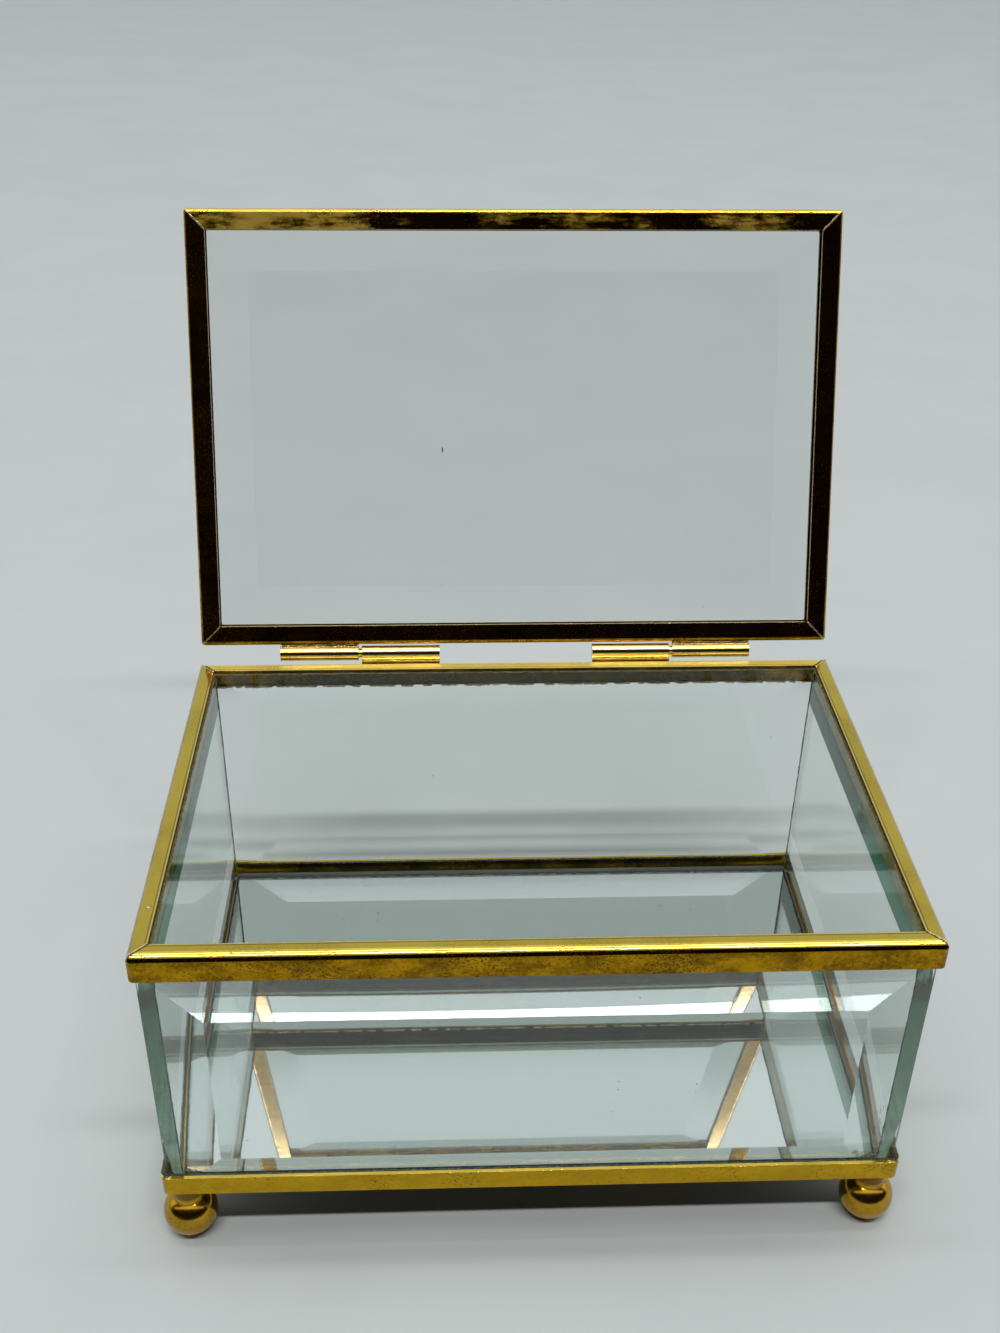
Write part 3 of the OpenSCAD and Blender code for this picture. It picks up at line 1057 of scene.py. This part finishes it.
        amber = (0.80, 0.70, 0.40)
        near_black = (0.022, 0.024, 0.012)
        brown = (0.16, 0.11, 0.02)
        grey_green = (0.10, 0.12, 0.11)
        whitish = (0.62, 0.66, 0.62)
        dust_grey = (0.16, 0.17, 0.16)
        pit_brown = (0.05, 0.022, 0.006)
        # each with its body, its slot, its colour, its roughness and how opaque it is
        pieces = (
            ("rim_glue", rim_glue, "box", "edging_brass", amber, 0.25, 1.0),
            ("base_glue", base_glue, "box", "edging_brass", near_black, 0.3, 1.0),
            ("rim_joint_glue", rim_joint_glue, "box", "edging_brass", brown, 0.3, 1.0),
            ("corner_glue", corner_glue, "box", "clear_glass", grey_green, 0.2, 1.0),
            ("corner_blots", corner_blots, "box", "clear_glass", whitish, 0.4, 0.55),
            ("dust", dust, "box", "clear_glass", dust_grey, 0.7, 1.0),
            ("lid_dust", lid_dust, "lid", "clear_glass", dust_grey, 0.7, 0.7),
            ("rim_pit", rim_pit, "box", "edging_brass", pit_brown, 0.4, 1.0),
        )
        for name, build, body, slot, colour, roughness, opaque in pieces:
            new_piece(name, body, build, dried_glue(name, colour, roughness, opaque))
        new_piece("rim_solder_drop", "box", solder_drop, solder("solder_drop"))
        return {"FINISHED"}


def floor_material(name, colour):
    """Pale studio surface with the faintest mottle."""
    material, graph = new_material(name)
    mottle = graph.noise(14.0, detail=5.0, roughness=0.6)
    shader = graph.principled({
        "Base Color": graph.blend(graph.fade(mottle, 0.35, 0.65), rgba(colour), darker(colour, 0.97)),
        "Roughness": 0.55,
        "Specular IOR Level": 0.3,
    })
    graph.surface(shader)
    return material


def lamp_row(name, target, elevation, distance, power):
    """A long row of lamps that shines on a point from in front of or above it."""
    lamp = bpy.data.lights.new(name, "AREA")
    length = 0.8 * distance
    width = 0.04 * distance
    lamp.shape = "RECTANGLE"
    lamp.size = length
    lamp.size_y = width
    lamp.energy = power
    row = bpy.data.objects.new(name, lamp)
    bpy.context.scene.collection.objects.link(row)
    row.location = target + distance * Vector((0.0, -math.cos(elevation), math.sin(elevation)))
    row.rotation_euler = (math.pi / 2 - elevation, 0.0, 0.0)
    row.visible_transmission = False


def studio_air():
    """Pale walls, a dark room in front, a bright band for gloss and glass, and a pale ceiling."""
    wall_grey = (0.45, 0.49, 0.475, 1.0)
    room_dark = (0.008, 0.006, 0.005, 1.0)
    band_white = (0.90, 0.92, 0.92, 1.0)
    ceiling_pale = (0.82, 0.85, 0.87, 1.0)
    backdrop_pale = (0.57, 0.61, 0.62, 1.0)
    world = bpy.data.worlds.new("studio_air")
    graph = Graph(world)
    direction = graph.add("ShaderNodeTexCoord", output="Generated")
    back = graph.dot(direction, (0.0, 1.0, 0.0))
    up = graph.dot(direction, (0.0, 0.0, 1.0))
    reach = back / up.larger(0.001)
    dark_room = graph.fade(0.0 - back, 0.02, 0.20)
    level = graph.blend(dark_room, wall_grey, room_dark)
    band = graph.fade(reach, -0.94, -0.90) * (1.0 - graph.fade(reach, -0.66, -0.60))
    glossy = graph.add("ShaderNodeLightPath", output="Is Glossy Ray")
    through = graph.add("ShaderNodeLightPath", output="Is Transmission Ray")
    band = band * graph.fade(up, 0.3, 0.4) * glossy.larger(through)
    level = graph.blend(band, level, band_white)
    ceiling = graph.fade(reach, -0.28, -0.15) * (1.0 - graph.fade(reach, 0.90, 0.99))
    level = graph.blend(ceiling * graph.fade(up, 0.05, 0.1), level, ceiling_pale)
    seen = graph.add("ShaderNodeLightPath", output="Is Camera Ray")
    level = graph.blend(seen, level, backdrop_pale)
    air = graph.add("ShaderNodeBackground", values={"Color": level, "Strength": 1.0})
    graph.add("ShaderNodeOutputWorld", values={"Surface": air})
    return world


def photo_camera(studio):
    """The camera at the photograph's place and angle."""
    camera = bpy.data.cameras.new("photo_camera")
    camera.lens = studio.lens
    camera.sensor_width = 36.0
    camera.sensor_fit = "AUTO"
    camera.clip_start = 0.01
    eye = bpy.data.objects.new("photo_camera", camera)
    bpy.context.scene.collection.objects.link(eye)
    turn = (
        Matrix.Rotation(studio.yaw, 4, "Z")
        @ Matrix.Rotation(studio.pitch, 4, "X")
        @ Matrix.Rotation(studio.roll, 4, "Y")
        @ Matrix.Rotation(math.pi / 2, 4, "X")
    )
    eye.matrix_world = Matrix.Translation(box_centre() + Vector(studio.eye)) @ turn
    return eye


class CASKET_OT_studio(bpy.types.Operator):
    """Build the floor, the lights and the camera"""

    bl_idname = "casket.studio"
    bl_label = "Studio"

    def execute(self, context):
        studio = context.scene.casket_studio
        scene = context.scene
        low, high = CAD_BOUNDS
        half = studio.floor_size / 2

        def sheet(shape):
            """A level sheet of four faces."""
            places = (-half, 0.0, half)
            rows = [[shape.verts.new((x, y, low.z)) for x in places] for y in places]
            for near, far in zip(rows, rows[1:]):
                for left in (0, 1):
                    shape.faces.new((near[left], near[left + 1], far[left + 1], far[left]))

        floor = object_from("studio_floor", sheet, floor_material("studio_paper", studio.floor_colour))

        scene.world = studio_air()
        middle = Vector((0.0, (low.y + high.y) / 2, low.z))
        lamp_row("front_lamps", middle, math.radians(68), studio.lamp_distance, studio.front_power)
        lamp_row("upper_lamps", middle, math.radians(94), studio.lamp_distance, studio.upper_power)
        scene.camera = photo_camera(studio)

        scene.view_settings.view_transform = "Standard"
        scene.cycles.max_bounces = 48
        scene.cycles.transmission_bounces = 32
        scene.cycles.glossy_bounces = 44
        scene.cycles.transparent_max_bounces = 24
        return {"FINISHED"}


OPERATORS = (
    CASKET_OT_clear_panes,
    CASKET_OT_mirror_floor,
    CASKET_OT_brass_edging,
    CASKET_OT_hinges,
    CASKET_OT_ball_feet,
    CASKET_OT_solder_seams,
    CASKET_OT_rim_bedding,
    CASKET_OT_glue_and_dust,
    CASKET_OT_studio,
)


class CASKET_PT_sidebar(bpy.types.Panel):
    """Lists the casket's builders"""

    bl_idname = "CASKET_PT_sidebar"
    bl_label = "Glass Casket Box"
    bl_space_type = "VIEW_3D"
    bl_region_type = "UI"
    bl_category = "Casket"

    def draw(self, context):
        for group in ("casket_finish", "casket_joints", "casket_studio"):
            settings = getattr(context.scene, group)
            for name in settings.__annotations__:
                self.layout.prop(settings, name)
        for operator in OPERATORS:
            self.layout.operator(operator.bl_idname)


PROPERTY_GROUPS = {
    "casket_finish": CasketFinish,
    "casket_joints": CasketJoints,
    "casket_studio": CasketStudio,
}


def register():
    for group in PROPERTY_GROUPS.values():
        bpy.utils.register_class(group)
    for operator in OPERATORS:
        bpy.utils.register_class(operator)
    bpy.utils.register_class(CASKET_PT_sidebar)
    for name, group in PROPERTY_GROUPS.items():
        setattr(bpy.types.Scene, name, bpy.props.PointerProperty(type=group))


def unregister():
    for name in PROPERTY_GROUPS:
        delattr(bpy.types.Scene, name)
    bpy.utils.unregister_class(CASKET_PT_sidebar)
    for operator in reversed(OPERATORS):
        bpy.utils.unregister_class(operator)
    for group in PROPERTY_GROUPS.values():
        bpy.utils.unregister_class(group)


def main():
    register()
    bpy.ops.casket.clear_panes()
    bpy.ops.casket.mirror_floor()
    bpy.ops.casket.brass_edging()
    bpy.ops.casket.hinges()
    bpy.ops.casket.ball_feet()
    bpy.ops.casket.solder_seams()
    bpy.ops.casket.rim_bedding()
    bpy.ops.casket.glue_and_dust()
    bpy.ops.casket.studio()


if __name__ == "__main__":
    main()
